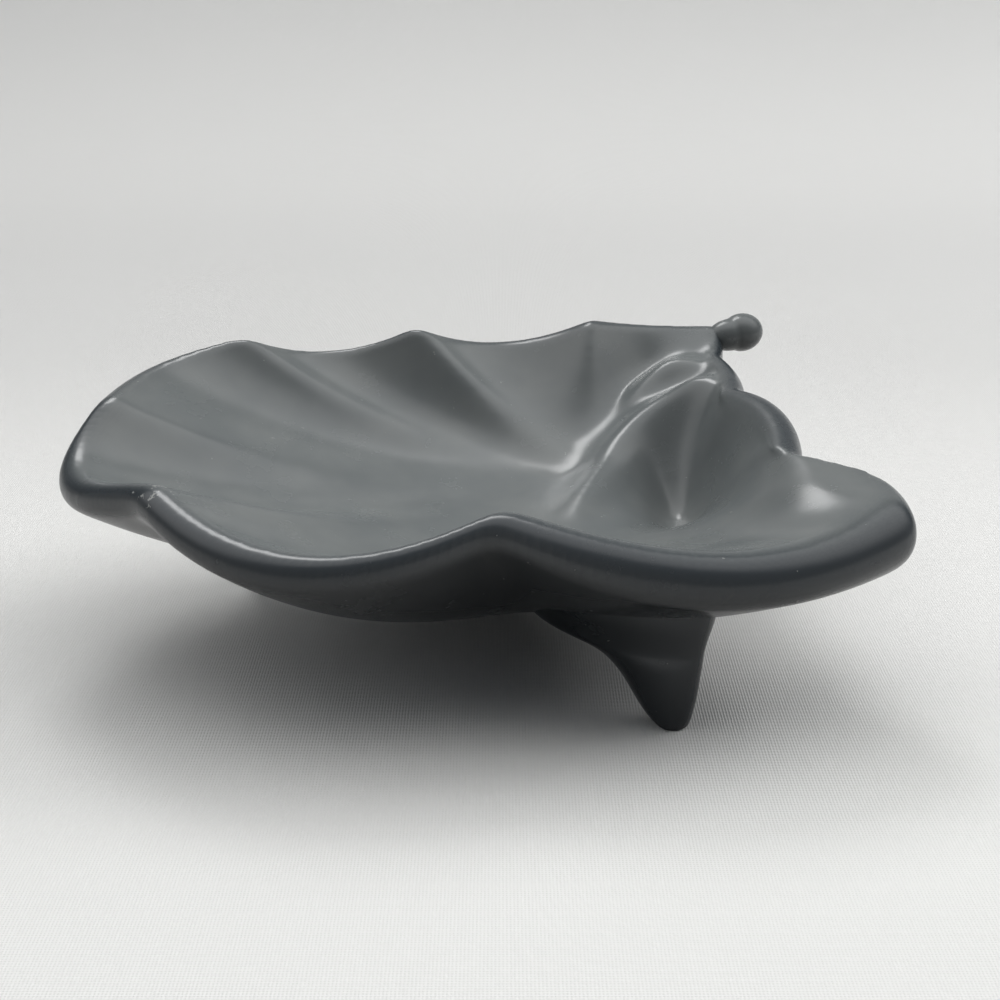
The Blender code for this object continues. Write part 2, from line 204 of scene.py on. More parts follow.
class DishSizes(bpy.types.PropertyGroup):
    """Sizes of the open shell."""

    length: FloatProperty(name="Length", description="Long side, fan to horn", default=0.148, unit="LENGTH")
    depth: FloatProperty(name="Depth", description="Front rim to back rim", default=0.117, unit="LENGTH")
    rim_height: FloatProperty(name="Rim height", description="Table to the back rim", default=0.048,
                              unit="LENGTH")
    rim_wall: FloatProperty(name="Rim", description="Thickness of the rolled rim", default=0.0068,
                            unit="LENGTH")
    horn_wall: FloatProperty(name="Horn", description="Thickness of the rim at the horn", default=0.0130,
                             unit="LENGTH")
    floor_wall: FloatProperty(name="Floor", description="Thickness of the wall at the columella",
                              default=0.0060, unit="LENGTH")
    inset: FloatProperty(name="Inset", description="How far the glaze lies within the packed form",
                         default=0.00008, unit="LENGTH")
    grain: FloatProperty(name="Grain", description="Size of the mesh's faces before the glaze rounds them",
                         default=0.00050, unit="LENGTH")


class KnobSizes(bpy.types.PropertyGroup):
    """Sizes of the knob at the apex."""

    diameter: FloatProperty(name="Diameter", description="Width of the knob", default=0.0082, unit="LENGTH")
    length: FloatProperty(name="Length", description="Length of the knob's bulb", default=0.0094,
                          unit="LENGTH")
    neck_inset: FloatProperty(name="Neck inset", description="How far the neck is stepped in",
                              default=0.0006, unit="LENGTH")
    reach: FloatProperty(name="Reach", description="Apex crest to the knob's end", default=0.0111,
                         unit="LENGTH")
    lift: FloatProperty(name="Lift", description="How far the knob sits above the rim's middle",
                        default=0.0006, unit="LENGTH")
    bed: FloatProperty(name="Bed", description="How deep the neck is bedded in the rim", default=0.0020,
                       unit="LENGTH")


class FootSizes(bpy.types.PropertyGroup):
    """Sizes of the feet."""

    root_width: FloatProperty(name="Root width", description="Width of a foot where it meets the bowl",
                              default=0.034, unit="LENGTH")
    root_thickness: FloatProperty(name="Root thickness", description="Thickness of a foot at its root",
                                  default=0.024, unit="LENGTH")
    sink: FloatProperty(name="Sink", description="How deep a root is bedded in the bowl's wall",
                        default=0.0006, unit="LENGTH")
    fillet: FloatProperty(name="Fillet", description="Height of the hollow curve below a root",
                          default=0.0050, unit="LENGTH")
    edge: FloatProperty(name="Edge", description="Height of the crisp edge round a sole", default=0.0006,
                        unit="LENGTH")
    flare: FloatProperty(name="Flare", description="How far a root spreads where it meets the belly",
                         default=0.0003, unit="LENGTH")


class GlazeLooks(bpy.types.PropertyGroup):
    """Colours and gloss of the slate glaze, and the colours of its painted shade."""

    slate: FloatVectorProperty(name="Slate", description="Colour of the glaze", subtype="COLOR",
                               default=(0.156, 0.168, 0.167), min=0, max=1)
    deep: FloatVectorProperty(name="Deep slate", description="Colour where the glaze lies thick",
                              subtype="COLOR", default=(0.128, 0.141, 0.143), min=0, max=1)
    chip: FloatVectorProperty(name="Chip", description="Clay that shows in the chips and pinholes",
                              subtype="COLOR", default=(0.27, 0.28, 0.27), min=0, max=1)
    # Painted shade, laid over the rim's outer side and all over the feet
    painted_outer_shade: FloatVectorProperty(name="Outside", description="Colour of the rim's edge and the feet",
                                 subtype="COLOR", default=(0.025, 0.033, 0.040), min=0, max=1)
    # Painted shade on the underside, lighter than that over the rim's outer side
    belly: FloatVectorProperty(name="Belly", description="Colour of the underside", subtype="COLOR",
                               default=(0.078, 0.086, 0.091), min=0, max=1)
    roughness: FloatProperty(name="Roughness", description="Roughness of the fired gloss", default=0.25,
                             min=0, max=1, subtype="FACTOR")


class StageLooks(bpy.types.PropertyGroup):
    """Cloth sweep, lamps and camera."""

    cloth: FloatVectorProperty(name="Cloth", description="Colour of the cloth", subtype="COLOR",
                               default=(0.755, 0.755, 0.74), min=0, max=1)
    # Painted shade: a darker band across the cloth behind the dish
    cloth_painted_shade_band: FloatVectorProperty(name="Cloth band", description="Colour where the cloth bends up",
                                    subtype="COLOR", default=(0.62, 0.62, 0.61), min=0, max=1)
    cloth_shade: FloatVectorProperty(name="Cloth bounce", description="Colour that the cloth throws back",
                                     subtype="COLOR", default=(0.05, 0.05, 0.05), min=0, max=1)
    backdrop: FloatVectorProperty(name="Backdrop", description="Colour of the room past the cloth",
                                  subtype="COLOR", default=(0.40, 0.40, 0.395), min=0, max=1)
    room: FloatVectorProperty(name="Room", description="Colour of the dim room at the front",
                              subtype="COLOR", default=(0.03, 0.04, 0.055), min=0, max=1)
    sky: FloatVectorProperty(name="Sky", description="Light of the pale room above and behind",
                             subtype="COLOR", default=(1.56, 1.56, 1.56), min=0, max=3)
    window_power: FloatProperty(name="Window", description="Power of the soft box at the right",
                                default=4.5, unit="POWER")
    ceiling_power: FloatProperty(name="Ceiling", description="Power of the lamp above the back",
                                 default=2.3, unit="POWER")
    lens: FloatProperty(name="Lens", description="Focal length of the camera in millimetres", default=57.6)
    pitch: FloatProperty(name="Pitch", description="How far the camera looks down",
                         default=math.radians(20.7), subtype="ANGLE")


def dish_sizes():
    """The sizes of the open shell."""
    return bpy.context.scene.soap_dish_sizes


def crest_point(crest):
    """Centre of the rolled rim at a crest."""
    sizes = dish_sizes()
    return Vector((crest.x * sizes.length, crest.y * sizes.depth, crest.z * sizes.rim_height))


def rim_row(index, share):
    """Centre, wall and climbs of the rim, a share of the way from crest number index to the next."""
    sizes = dish_sizes()
    crest, lobe = RIM_SHARES[index]
    other = RIM_SHARES[(index + 1) % len(RIM_SHARES)][0]
    start, end = crest_point(crest), crest_point(other)
    chord = (end - start).to_2d()
    outward = Vector((-chord.y, chord.x, 0)).normalized()
    leant = share ** lobe.lean
    bow = 4 * leant * (1 - leant)
    rim = start.lerp(end, share) + outward * lobe.bulge * chord.length * bow
    rim.z -= lobe.dip * chord.length * bow
    heft, *powers = ((a + (b - a) * share) * (1 - bow) + c * bow
                     for a, b, c in zip(crest[3:], other[3:], lobe[3:]))
    return (*rim, sizes.rim_wall + (sizes.horn_wall - sizes.rim_wall) * heft, *powers)


def rim_table():
    """Rows of the rim all round the dish, from the front notch."""
    places = [(index, step / LOBE_STEPS) for index in range(len(RIM_SHARES)) for step in range(LOBE_STEPS)]
    return np.array([rim_row(index, share) for index, share in places])


def blended(table, blend):
    """The rim's rows, each blended with its neighbours."""
    waves = np.fft.rfft(table, axis=0)
    order = np.arange(len(waves))[:, None]
    return np.fft.irfft(waves * np.exp(-(order * blend) ** 2 / 2), n=len(table), axis=0)


def softened(table, share):
    """The rim's rows as the wall follows them: the nearer it is to the hub, the softer its flutes are."""
    calm = blended(table, HUB_BLEND_SHARE)
    blend = RIM_BLEND_SHARE + (HUB_BLEND_SHARE - RIM_BLEND_SHARE) * (1 - share) ** 2
    fade = calm[:, 6:].clip(0)
    return calm + (blended(table, blend) - calm) * min(1, share) ** fade


def hub_point():
    """Middle of the wall at the hub."""
    sizes = dish_sizes()
    x_share, y_share, z_share = HUB_SHARES
    return np.array((x_share * sizes.length, y_share * sizes.depth, z_share * sizes.rim_height))


def swell_points():
    """Points along every swell with their lifts and spreads, each lift shared out along its chain."""
    sizes = dish_sizes()
    points = []
    for chain in SWELL_SHARES.values():
        for start, end in zip(chain, chain[1:]):
            length = math.dist((start.x * sizes.length, start.y * sizes.depth),
                               (end.x * sizes.length, end.y * sizes.depth))
            for step in range(SWELL_STEPS):
                share = (step + 0.5) / SWELL_STEPS
                x, y, lift, spread = (a + (b - a) * share for a, b in zip(start, end))
                spread *= sizes.depth
                lift *= sizes.rim_height * length / SWELL_STEPS / (spread * math.sqrt(math.pi))
                points.append((x * sizes.length, y * sizes.depth, lift, spread))
    return points


def swell_heights(ring):
    """Heights that the swells add to a ring of points of the inside."""
    heights = np.zeros(len(ring))
    for x, y, lift, spread in swell_points():
        heights += lift * np.exp(-((ring[:, 0] - x) ** 2 + (ring[:, 1] - y) ** 2) / spread ** 2)
    return heights


def floor_heights(ring):
    """Heights of the tilted floor's middle below a ring of points."""
    hub = hub_point()
    right, back = FLOOR_SLOPE_SHARES
    return hub[2] + right * (ring[:, 0] - hub[0]) + back * (ring[:, 1] - hub[1])


def mid_ring(table, share):
    """Ring of the wall's middle as the inside follows it, a share of the way from the hub to the rim."""
    rows = softened(table, share)
    rim, inner = rows[:, :3], rows[:, 4]
    ring = hub_point() + (rim - hub_point()) * share
    ring[:, 2] = floor_heights(ring) + (rim[:, 2] - floor_heights(rim)) * share ** inner
    return ring


def under_ring(table, share):
    """Ring of the wall's middle as the plainer underside follows it."""
    sizes = dish_sizes()
    rows = softened(table, share)
    rim, under = rows[:, :3], rows[:, 5]
    low = UNDER_LOW_SHARE * sizes.rim_height
    ring = hub_point() + (rim - hub_point()) * share
    ring[:, 2] = low + (rim[:, 2] - low) * share ** under
    return ring


def unit(ways):
    """Ways of length 1."""
    return ways / np.linalg.norm(ways, axis=1)[:, None]


def wall_ways(curve, table, share):
    """Upward ways out of the wall's middle: straight up at the hub, square to the curve at the rim."""
    before, after = max(0, share - SLOPE_STEP_SHARE), min(1, share + SLOPE_STEP_SHARE)
    along = curve(table, after) - curve(table, before)
    run = np.hypot(along[:, 0], along[:, 1])
    square = unit(np.column_stack((-along[:, :2] * (along[:, 2] / run)[:, None], run)))
    return unit(square * share + np.array((0, 0, 1 - share)))


def half_walls(table, share):
    """Half of the wall's thickness, which grows from the floor to the rim."""
    sizes = dish_sizes()
    wall = softened(table, share)[:, 3]
    return ((sizes.floor_wall + (wall - sizes.floor_wall) * share * share) / 2)[:, None]


def roll_rings(table, growth):
    """Rings round the rolled rim, from the inside over its edge to the underside."""
    rows = softened(table, 1)
    rim = rows[:, :3]
    outward = rim - hub_point()
    outward[:, 2] = 0
    outward = unit(outward)
    top, bottom = wall_ways(mid_ring, table, 1), -wall_ways(under_ring, table, 1)
    start = np.arctan2(top[:, 2], (top * outward).sum(axis=1))
    end = np.arctan2(bottom[:, 2], (bottom * outward).sum(axis=1))
    rings = []
    for step in range(ROLL_STEPS + 1):
        angle = (start + (end - start) * step / ROLL_STEPS)[:, None]
        reach = outward * np.cos(angle) + np.array((0, 0, 1)) * np.sin(angle)
        rings.append(rim + reach * (half_walls(table, 1) + growth))
    return rings


def dish_rings(growth=0, filled=False):
    """Rings of the dish's surface from the hub over the rolled rim and back below.

    A filled dish runs straight across from the rim instead of down into the bowl.
    """
    table = rim_table()
    rings = []
    for step in range(1, INSIDE_STEPS):
        share = (step / INSIDE_STEPS) ** RIM_CROWDING
        lift = wall_ways(mid_ring, table, share) * (half_walls(table, share) + growth)
        ring = mid_ring(table, share) + lift
        ring[:, 2] += swell_heights(ring) * (1 - share ** SWELL_POWER)
        if filled:
            ring[:, 2] = softened(table, share)[:, 2] + lift[:, 2]
        rings.append(ring)
    rings += roll_rings(table, growth)
    for step in range(1, UNDER_STEPS):
        share = (1 - step / UNDER_STEPS) ** RIM_CROWDING
        drop = wall_ways(under_ring, table, share) * (half_walls(table, share) + growth)
        rings.append(under_ring(table, share) - drop)
    return rings


def add_object(name, mesh):
    """Put a mesh in the scene as a smooth-shaded object."""
    mesh.shade_smooth()
    thing = bpy.data.objects.new(name, mesh)
    bpy.context.scene.collection.objects.link(thing)
    return thing


def loft_shell(name, growth=0, filled=False):
    """Loft the rings and close them at the hub above and below."""
    sizes = dish_sizes()
    mesh = bpy.data.meshes.new(name)
    loft = bmesh.new()
    rings = [[loft.verts.new(point) for point in ring] for ring in dish_rings(growth, filled)]
    half_floor = sizes.floor_wall / 2 + growth
    crown = hub_point()
    crown[2] += half_floor + swell_heights(crown[None])[0]
    if filled:
        crown[2] = sizes.rim_height
    keel = hub_point()
    keel[2] = UNDER_LOW_SHARE * sizes.rim_height - half_floor
    crown, keel = loft.verts.new(crown), loft.verts.new(keel)
    for place in range(len(rings[0])):
        after = (place + 1) % len(rings[0])
        loft.faces.new((crown, rings[0][place], rings[0][after]))
        for ring, outer in zip(rings, rings[1:]):
            loft.faces.new((ring[place], outer[place], outer[after], ring[after]))
        loft.faces.new((rings[-1][place], keel, rings[-1][after]))
    bmesh.ops.recalc_face_normals(loft, faces=loft.faces)
    loft.to_mesh(mesh)
    loft.free()
    return add_object(name, mesh)


def mark_rim_turn(mesh):
    """Mark how far over the rolled rim each place lies: 0 where the roll starts, 1 where it ends."""
    rings = dish_rings()
    tree = KDTree(sum(len(ring) for ring in rings))
    turns = []
    for number, ring in enumerate(rings):
        for point in ring:
            tree.insert(point, len(turns))
            turns.append((number - INSIDE_STEPS + 1) / ROLL_STEPS)
    tree.balance()
    mark = mesh.attributes.new(RIM_TURN, "FLOAT", "POINT")
    mark.data.foreach_set("value", [turns[tree.find(vertex.co)[1]] for vertex in mesh.vertices])


def settle(thing):
    """Turn an object's evaluated form into its own mesh."""
    evaluated = thing.evaluated_get(bpy.context.evaluated_depsgraph_get())
    mesh = bpy.data.meshes.new_from_object(evaluated)
    thing.modifiers.clear()
    thing.data = mesh
    return thing


def knob_outline():
    """Outline of the knob from the middle of its end down its side to a neck that curves in to the axis at
    its root.
    """
    sizes = bpy.context.scene.soap_dish_knob
    radius = sizes.diameter / 2
    neck = radius - sizes.neck_inset
    half_length = sizes.length / 2
    centre = sizes.reach - half_length
    meet = math.asin(neck / radius)
    outline = []
    for step in range(KNOB_ARC_STEPS + 1):
        angle = (math.pi - meet) * step / KNOB_ARC_STEPS
        outline.append(Vector((radius * math.sin(angle), 0, centre + half_length * math.cos(angle))))
    outline[0].x = 0
    shoulder = outline[-1].z
    for step in range(1, KNOB_NECK_STEPS + 1):
        angle = math.pi / 2 * step / KNOB_NECK_STEPS
        level = shoulder - (shoulder + sizes.bed) * math.sin(angle)
        outline.append(Vector((neck * math.cos(angle), 0, level)))
    outline[-1].x = 0
    return outline


def foot_sections():
    """The foot's sections with smooth steps between them."""
    rows = [np.array(row) for row in (FOOT_SHARES[0], *FOOT_SHARES, FOOT_SHARES[-1])]
    sections = [tuple(rows[1])]
    for before, start, end, after in zip(rows, rows[1:], rows[2:], rows[3:]):
        for step in range(1, FOOT_STEPS + 1):
            share = step / FOOT_STEPS
            bend = (end - before, 2 * before - 5 * start + 4 * end - after,
                    3 * start - before - 3 * end + after)
            sections.append(tuple(start + sum(way * share ** power for power, way in enumerate(bend, 1)) / 2))
    return sections


def foot_form(name):
    """Loft a foot from its flat sole to its root, in its own place and turn."""
    sizes = bpy.context.scene.soap_dish_feet
    dish = dish_sizes()
    x_share, y_share, turn = FOOT_PLACE_SHARES[name]
    form = bmesh.new()
    rings = []
    for height, outer, inner, thickness in foot_sections():
        half_width = (outer + inner) / 2 * sizes.root_width
        middle = (outer - inner) / 2 * sizes.root_width
        half_depth = thickness * sizes.root_thickness / 2
        ring = []
        for side in range(FOOT_SIDES):
            angle = math.tau * side / FOOT_SIDES
            ring.append(form.verts.new((middle + half_width * math.cos(angle),
                                        half_depth * math.sin(angle),
                                        height * FOOT_TOP_SHARE * dish.rim_height)))
        rings.append(ring)
    for ring, above in zip(rings, rings[1:]):
        for side in range(FOOT_SIDES):
            after = (side + 1) % FOOT_SIDES
            form.faces.new((ring[side], ring[after], above[after], above[side]))
    form.faces.new(rings[0][::-1])
    form.faces.new(rings[-1])
    place = Matrix.Translation((x_share * dish.length, y_share * dish.depth, 0))
    form.transform(place @ Matrix.Rotation(math.radians(turn), 4, "Z"))
    mesh = bpy.data.meshes.new(name)
    form.to_mesh(mesh)
    form.free()
    return add_object(name + "_glazed", mesh)


def flare_root(mesh, skin):
    """Spread a foot's root so that it runs out into the skin of the belly in a hollow curve."""
    sizes = bpy.context.scene.soap_dish_feet
    centre = sum((vertex.co for vertex in mesh.vertices), Vector()) / len(mesh.vertices)
    for vertex in mesh.vertices:
        near, normal, _, distance = skin.find_nearest(vertex.co)
        if (vertex.co - near).dot(normal) < 0:
            distance = 0
        outward = Vector((vertex.co.x - centre.x, vertex.co.y - centre.y, 0)).normalized()
        vertex.co += outward * sizes.flare * max(0, 1 - distance / sizes.fillet) ** 2


def soften_above_sole(foot):
    """Round off the steps of a foot's loft, but leave its flat sole and the edge round it."""
    group = foot.vertex_groups.new(name="above_sole")
    edge = bpy.context.scene.soap_dish_feet.edge
    group.add([vertex.index for vertex in foot.data.vertices if vertex.co.z > edge], 1, "REPLACE")
    soften = foot.modifiers.new("soften", "SMOOTH")
    soften.factor = GLAZE_SOFTENING
    soften.iterations = GLAZE_ROUNDS
    soften.vertex_group = group.name


def node(tree, kind, inputs=None, **settings):
    """Add a shader node with its settings and its inputs' values or links."""
    made = tree.nodes.new(kind)
    for key, value in settings.items():
        setattr(made, key, value)
    for key, value in (inputs or {}).items():
        if isinstance(value, bpy.types.NodeSocket):
            tree.links.new(value, made.inputs[key])
        else:
            made.inputs[key].default_value = value
    return made


def new_material(name):
    """A material with a bare tree, its shader and its output."""
    material = bpy.data.materials.new(name)
    material.use_nodes = True
    tree = material.node_tree
    tree.nodes.clear()
    shader = node(tree, "ShaderNodeBsdfPrincipled")
    node(tree, "ShaderNodeOutputMaterial", {"Surface": shader.outputs["BSDF"]})
    return material, tree, shader


def slate_glaze(name, painted_shade_share=0):
    """Slate glaze: pooled and thin patches, fine specks, and a slightly uneven gloss.

    Painted shade: the colour is darkened over the rim's outer side and the underside, as the rim turn mark
    says, and the painted shade share is how far a piece without that mark is darkened.
    """
    looks = bpy.context.scene.soap_dish_glaze
    material, tree, shader = new_material(name)
    place = node(tree, "ShaderNodeTexCoord").outputs["Object"]
    pools = node(tree, "ShaderNodeTexNoise", {"Vector": place, "Scale": 55, "Detail": 3, "Roughness": 0.55})
    blend = node(tree, "ShaderNodeMapRange", {"Value": pools.outputs["Fac"], "From Min": 0.38,
                                              "From Max": 0.66})
    tones = node(tree, "ShaderNodeMix", {0: blend.outputs["Result"], 6: (*looks.deep, 1),
                                         7: (*looks.slate, 1)}, data_type="RGBA")
    turn = node(tree, "ShaderNodeAttribute", attribute_name=RIM_TURN).outputs["Fac"]
    # Painted shade: darker colour over the rim's outer side, a little lighter on the underside, by the rim
    # turn mark
    painted_outer_shade = node(tree, "ShaderNodeMapRange", {"Value": turn, "From Min": -0.16, "From Max": 0.46,
                                                "To Min": painted_shade_share}, interpolation_type="SMOOTHSTEP")
    below = node(tree, "ShaderNodeMapRange", {"Value": turn, "From Min": 0.45, "From Max": 1.0},
                 interpolation_type="SMOOTHSTEP")
    dark = node(tree, "ShaderNodeMix", {0: below.outputs["Result"], 6: (*looks.painted_outer_shade, 1),
                                        7: (*looks.belly, 1)}, data_type="RGBA")
    glaze_and_painted_shade = node(tree, "ShaderNodeMix", {0: painted_outer_shade.outputs["Result"], 6: tones.outputs[2],
                                        7: dark.outputs[2]}, data_type="RGBA")
    chips = node(tree, "ShaderNodeTexNoise", {"Vector": place, "Scale": 620, "Detail": 3, "Roughness": 0.6})
    near_chips = node(tree, "ShaderNodeVectorMath", {0: place, 1: CHIP_PLACE}, operation="DISTANCE")
    worn = node(tree, "ShaderNodeMapRange", {"Value": near_chips.outputs["Value"], "From Min": 0.0,
                                             "From Max": 0.0060, "To Min": 0.50, "To Max": 0.74})
    chipped = node(tree, "ShaderNodeMath", {0: chips.outputs["Fac"], 1: worn.outputs["Result"]},
                   operation="GREATER_THAN")
    body = node(tree, "ShaderNodeMix", {0: chipped.outputs[0], 6: glaze_and_painted_shade.outputs[2],
                                        7: (*looks.chip, 1)}, data_type="RGBA")
    tree.links.new(body.outputs[2], shader.inputs["Base Color"])
    haze = node(tree, "ShaderNodeTexNoise", {"Vector": place, "Scale": 90, "Detail": 5, "Roughness": 0.6})
    gloss = node(tree, "ShaderNodeMapRange", {"Value": haze.outputs["Fac"], "From Min": 0.3, "From Max": 0.7,
                                              "To Min": looks.roughness * 0.9,
                                              "To Max": looks.roughness * 1.15})
    tree.links.new(gloss.outputs["Result"], shader.inputs["Roughness"])
    ripple = node(tree, "ShaderNodeTexNoise", {"Vector": place, "Scale": 130, "Detail": 2})
    bump = node(tree, "ShaderNodeBump", {"Height": ripple.outputs["Fac"], "Strength": 0.06,
                                         "Distance": 0.001})
    tree.links.new(bump.outputs["Normal"], shader.inputs["Normal"])
    shader.inputs["IOR"].default_value = 1.5
    return material


def cloth_material():
    """Pale cloth with a fine plain weave, and a band of painted shade behind the dish."""
    looks = bpy.context.scene.soap_dish_stage
    material, tree, shader = new_material("pale_cloth")
    place = node(tree, "ShaderNodeTexCoord").outputs["Object"]
    warp = node(tree, "ShaderNodeTexWave", {"Vector": place, "Scale": 610, "Distortion": 1.5, "Detail": 2,
                                            "Detail Scale": 3}, bands_direction="X")
    weft = node(tree, "ShaderNodeTexWave", {"Vector": place, "Scale": 610, "Distortion": 1.5, "Detail": 2,
                                            "Detail Scale": 3}, bands_direction="Y")
    weave = node(tree, "ShaderNodeMath", {0: warp.outputs["Fac"], 1: weft.outputs["Fac"]},
                 operation="ADD")
    bump = node(tree, "ShaderNodeBump", {"Height": weave.outputs[0], "Strength": 0.35, "Distance": 0.0002})
    tree.links.new(bump.outputs["Normal"], shader.inputs["Normal"])
    path = node(tree, "ShaderNodeLightPath")
    seen = node(tree, "ShaderNodeMath", {0: path.outputs["Is Camera Ray"], 1: path.outputs["Is Glossy Ray"]},
                operation="MAXIMUM")
    # Painted shade: the cloth is darker in a band from y = 0 to 0.62, for the camera and mirrored rays
    back = node(tree, "ShaderNodeSeparateXYZ", {0: place}).outputs["Y"]
    dip = node(tree, "ShaderNodeMapRange", {"Value": back, "From Min": 0.0, "From Max": 0.22},
               interpolation_type="SMOOTHSTEP")
    rise = node(tree, "ShaderNodeMapRange", {"Value": back, "From Min": 0.30, "From Max": 0.62},
                interpolation_type="SMOOTHSTEP")
    band = node(tree, "ShaderNodeMath", {0: dip.outputs["Result"], 1: rise.outputs["Result"]},
                operation="SUBTRACT")
    shade = node(tree, "ShaderNodeMix", {0: band.outputs[0], 6: (*looks.cloth, 1), 7: (*looks.cloth_painted_shade_band, 1)},
                 data_type="RGBA")
    colour = node(tree, "ShaderNodeMix", {0: seen.outputs[0], 6: (*looks.cloth_shade, 1),
                                          7: shade.outputs[2]}, data_type="RGBA")
    tree.links.new(colour.outputs[2], shader.inputs["Base Color"])
    shader.inputs["Roughness"].default_value = 0.9
    shader.inputs["Specular IOR Level"].default_value = 0.15
    return material


def finish_piece(piece, node_name, material):
    """Glaze a piece, let it ride with the dish and let it stand for its CAD node."""
    piece.data.materials.clear()
    piece.data.materials.append(material)
    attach(piece, "root")
    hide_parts(node_name)


class SOAPDISH_OT_bowl(bpy.types.Operator):
    """Loft the open shell and glaze it"""

    bl_idname = "soap_dish.bowl"
    bl_label = "Shell bowl"

    def execute(self, context):
        sizes = dish_sizes()
        bowl = loft_shell("shell_bowl", growth=-sizes.inset)
        even = bowl.modifiers.new("even", "REMESH")
        even.mode = "VOXEL"
        even.voxel_size = sizes.grain
        soften = bowl.modifiers.new("soften", "SMOOTH")
        soften.factor = GLAZE_SOFTENING
        soften.iterations = GLAZE_ROUNDS
        settle(bowl)
        bowl.data.shade_smooth()
        mark_rim_turn(bowl.data)
        finish_piece(bowl, "shell_dish", slate_glaze("dish_slate"))
        return {"FINISHED"}


class SOAPDISH_OT_knob(bpy.types.Operator):
    """Turn the knob and set it on the apex"""

    bl_idname = "soap_dish.knob"
    bl_label = "Apex knob"

    def execute(self, context):
        outline = knob_outline()
        mesh = bpy.data.meshes.new("knob_turned")
        mesh.from_pydata(outline, [(i, i + 1) for i in range(len(outline) - 1)], [])
        knob = add_object("knob_turned", mesh)
        turn = knob.modifiers.new("turn", "SCREW")
        turn.steps = KNOB_TURNS
        turn.render_steps = KNOB_TURNS
        turn.use_merge_vertices = True
        turn.merge_threshold = MERGE_DISTANCE
        turn.use_smooth_shade = True
        knob = settle(knob)
        lift = Vector((0, 0, context.scene.soap_dish_knob.lift))
        place = Matrix.Translation(crest_point(RIM_SHARES[APEX_CREST][0]) + lift)
        knob.data.transform(place @ Vector(KNOB_WAY).to_track_quat("Z", "Y").to_matrix().to_4x4())
        finish_piece(knob, "apex_knob", slate_glaze("knob_slate"))
        return {"FINISHED"}


class SOAPDISH_OT_feet(bpy.types.Operator):
    """Loft the feet and bed them in the underside"""

    bl_idname = "soap_dish.feet"
    bl_label = "Feet"

    def execute(self, context):
        sizes = context.scene.soap_dish_feet
        seat = loft_shell("seat_guide", growth=-sizes.sink, filled=True)
        skin = BVHTree.FromObject(bpy.data.objects["shell_bowl"], context.evaluated_depsgraph_get())
        # The feet are painted all over with the painted shade colour
        slate = slate_glaze("foot_painted_shade", 1)
        for name in FOOT_PLACE_SHARES:
            foot = foot_form(name)
            flare_root(foot.data, skin)
            soften_above_sole(foot)
            cut = foot.modifiers.new("bed", "BOOLEAN")
            cut.operation = "DIFFERENCE"
            cut.object = seat
            settle(foot)
            foot.data.set_sharp_from_angle(angle=math.radians(FOOT_EDGE_DEGREES))
            finish_piece(foot, name, slate)
        bpy.data.objects.remove(seat)
        return {"FINISHED"}


def add_lamp(name, place, width, depth, power):
    """A rectangular soft lamp at a place, turned to aim at the dish."""
    lamp = bpy.data.lights.new(name, "AREA")
    lamp.shape = "RECTANGLE"
    lamp.size = width
    lamp.size_y = depth
    lamp.energy = power
    holder = bpy.data.objects.new(name, lamp)
    bpy.context.scene.collection.objects.link(holder)
    holder.location = place
    holder.rotation_euler = (-Vector(place)).to_track_quat("-Z", "Y").to_euler()
    return holder


def cloth_sweep():
    """Lay the cloth on the table and bend it up to the wall behind."""
    profile = [(SWEEP_FRONT, 0), (SWEEP_BACK - SWEEP_BEND, 0)]
    for step in range(1, SWEEP_BEND_STEPS + 1):
        angle = math.pi / 2 * step / SWEEP_BEND_STEPS
        profile.append((SWEEP_BACK - SWEEP_BEND + SWEEP_BEND * math.sin(angle),
                        SWEEP_BEND - SWEEP_BEND * math.cos(angle)))
    profile.append((SWEEP_BACK, SWEEP_TOP))
    sheet = bmesh.new()
    left = [sheet.verts.new((-SWEEP_HALF_WIDTH, y, z)) for y, z in profile]
    right = [sheet.verts.new((SWEEP_HALF_WIDTH, y, z)) for y, z in profile]
    for i in range(len(profile) - 1):
        sheet.faces.new((left[i], right[i], right[i + 1], left[i + 1]))
    mesh = bpy.data.meshes.new("cloth_sweep")
    sheet.to_mesh(mesh)
    sheet.free()
    mesh.materials.append(cloth_material())
    return add_object("cloth_sweep", mesh)


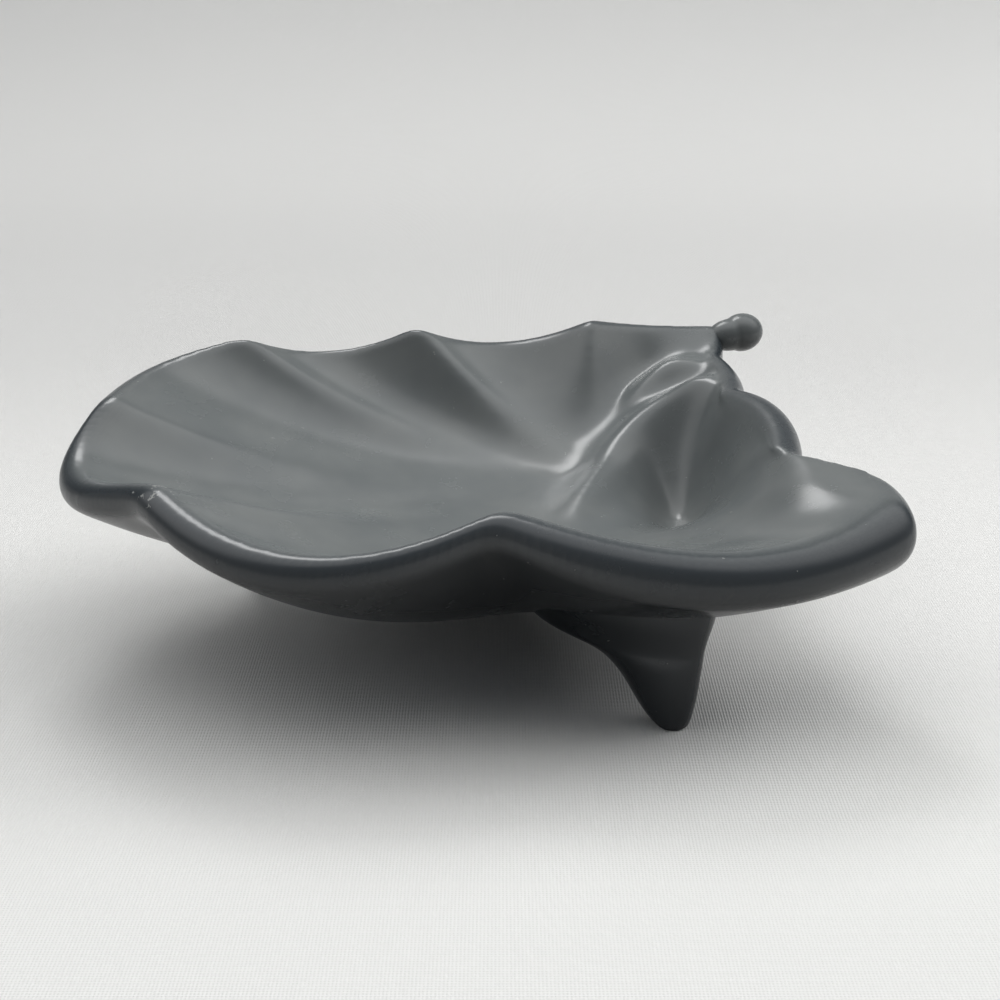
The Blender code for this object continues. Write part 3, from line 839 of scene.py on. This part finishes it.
def room_world():
    """Light of the room: pale above and behind, dim low down and at the front, with a pale backdrop."""
    looks = bpy.context.scene.soap_dish_stage
    backdrop = (*looks.backdrop, 1)
    world = bpy.data.worlds.new("room")
    world.use_nodes = True
    tree = world.node_tree
    tree.nodes.clear()
    way = node(tree, "ShaderNodeTexCoord").outputs["Generated"]
    facing = node(tree, "ShaderNodeVectorMath", {0: way, 1: Vector(ROOM_WAY).normalized()},
                  operation="DOT_PRODUCT")
    near_share = node(tree, "ShaderNodeMapRange", {"Value": facing.outputs["Value"], "From Min": 0.12,
                                                   "From Max": 0.62}, interpolation_type="SMOOTHSTEP")
    dome = node(tree, "ShaderNodeMix", {0: near_share.outputs["Result"], 6: (*looks.sky, 1),
                                        7: (*looks.room, 1)}, data_type="RGBA")
    high = node(tree, "ShaderNodeSeparateXYZ", {0: way}).outputs["Z"]
    glow = node(tree, "ShaderNodeMapRange", {"Value": high, "From Min": 0.05, "From Max": 0.70,
                                             "To Min": 0.04}, interpolation_type="SMOOTHSTEP")
    lit = node(tree, "ShaderNodeVectorMath", {0: dome.outputs[2], "Scale": glow.outputs["Result"]},
               operation="SCALE")
    # Mirrored rays see the backdrop where it is brighter than the light, and the camera sees it alone
    path = node(tree, "ShaderNodeLightPath")
    mirror = node(tree, "ShaderNodeMath", {0: path.outputs["Is Glossy Ray"],
                                           1: path.outputs["Is Transmission Ray"]}, operation="MAXIMUM")
    mirrored = node(tree, "ShaderNodeMix", {0: mirror.outputs[0], 6: lit.outputs[0], 7: backdrop},
                    data_type="RGBA", blend_type="LIGHTEN")
    seen = node(tree, "ShaderNodeMix", {0: path.outputs["Is Camera Ray"], 6: mirrored.outputs[2],
                                        7: backdrop}, data_type="RGBA")
    light = node(tree, "ShaderNodeBackground", {"Color": seen.outputs[2], "Strength": 1.0})
    node(tree, "ShaderNodeOutputWorld", {"Surface": light.outputs["Background"]})
    return world


def photo_camera():
    """The camera where the photograph was taken from."""
    looks = bpy.context.scene.soap_dish_stage
    lens = bpy.data.cameras.new("photo_camera")
    lens.lens = looks.lens
    lens.sensor_width = SENSOR_WIDTH
    camera = bpy.data.objects.new("photo_camera", lens)
    bpy.context.scene.collection.objects.link(camera)
    camera.location = CAMERA_PLACE
    camera.rotation_euler = (math.pi / 2 - looks.pitch, 0, 0)
    return camera


class SOAPDISH_OT_stage(bpy.types.Operator):
    """Lay the cloth sweep, hang the lamps and set the camera"""

    bl_idname = "soap_dish.stage"
    bl_label = "Stage"

    def execute(self, context):
        looks = context.scene.soap_dish_stage
        sweep = cloth_sweep()
        window = add_lamp("window_box", *WINDOW_BOX, looks.window_power)
        window.visible_glossy = False
        add_lamp("ceiling_lamp", *CEILING_LAMP, looks.ceiling_power)
        context.scene.world = room_world()
        context.scene.camera = photo_camera()
        context.scene.view_settings.view_transform = "Standard"
        return {"FINISHED"}


class SOAPDISH_PT_panel(bpy.types.Panel):
    """Lists the pieces in the sidebar."""

    bl_idname = "SOAPDISH_PT_panel"
    bl_label = "Shell soap dish"
    bl_space_type = "VIEW_3D"
    bl_region_type = "UI"
    bl_category = "Soap dish"

    def draw(self, context):
        for operator in OPERATORS:
            self.layout.operator(operator.bl_idname)


GROUPS = {
    "soap_dish_sizes": DishSizes,
    "soap_dish_knob": KnobSizes,
    "soap_dish_feet": FootSizes,
    "soap_dish_glaze": GlazeLooks,
    "soap_dish_stage": StageLooks,
}
OPERATORS = (SOAPDISH_OT_bowl, SOAPDISH_OT_knob, SOAPDISH_OT_feet, SOAPDISH_OT_stage)


def register():
    """Register the classes and hang the settings on the scene."""
    for name, group in GROUPS.items():
        bpy.utils.register_class(group)
        setattr(bpy.types.Scene, name, PointerProperty(type=group))
    for operator in OPERATORS:
        bpy.utils.register_class(operator)
    bpy.utils.register_class(SOAPDISH_PT_panel)


def unregister():
    """Take the settings and the classes away again."""
    bpy.utils.unregister_class(SOAPDISH_PT_panel)
    for operator in reversed(OPERATORS):
        bpy.utils.unregister_class(operator)
    for name, group in GROUPS.items():
        delattr(bpy.types.Scene, name)
        bpy.utils.unregister_class(group)


def main():
    """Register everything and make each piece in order."""
    register()
    bpy.ops.soap_dish.bowl()
    bpy.ops.soap_dish.knob()
    bpy.ops.soap_dish.feet()
    bpy.ops.soap_dish.stage()


if __name__ == "__main__":
    main()
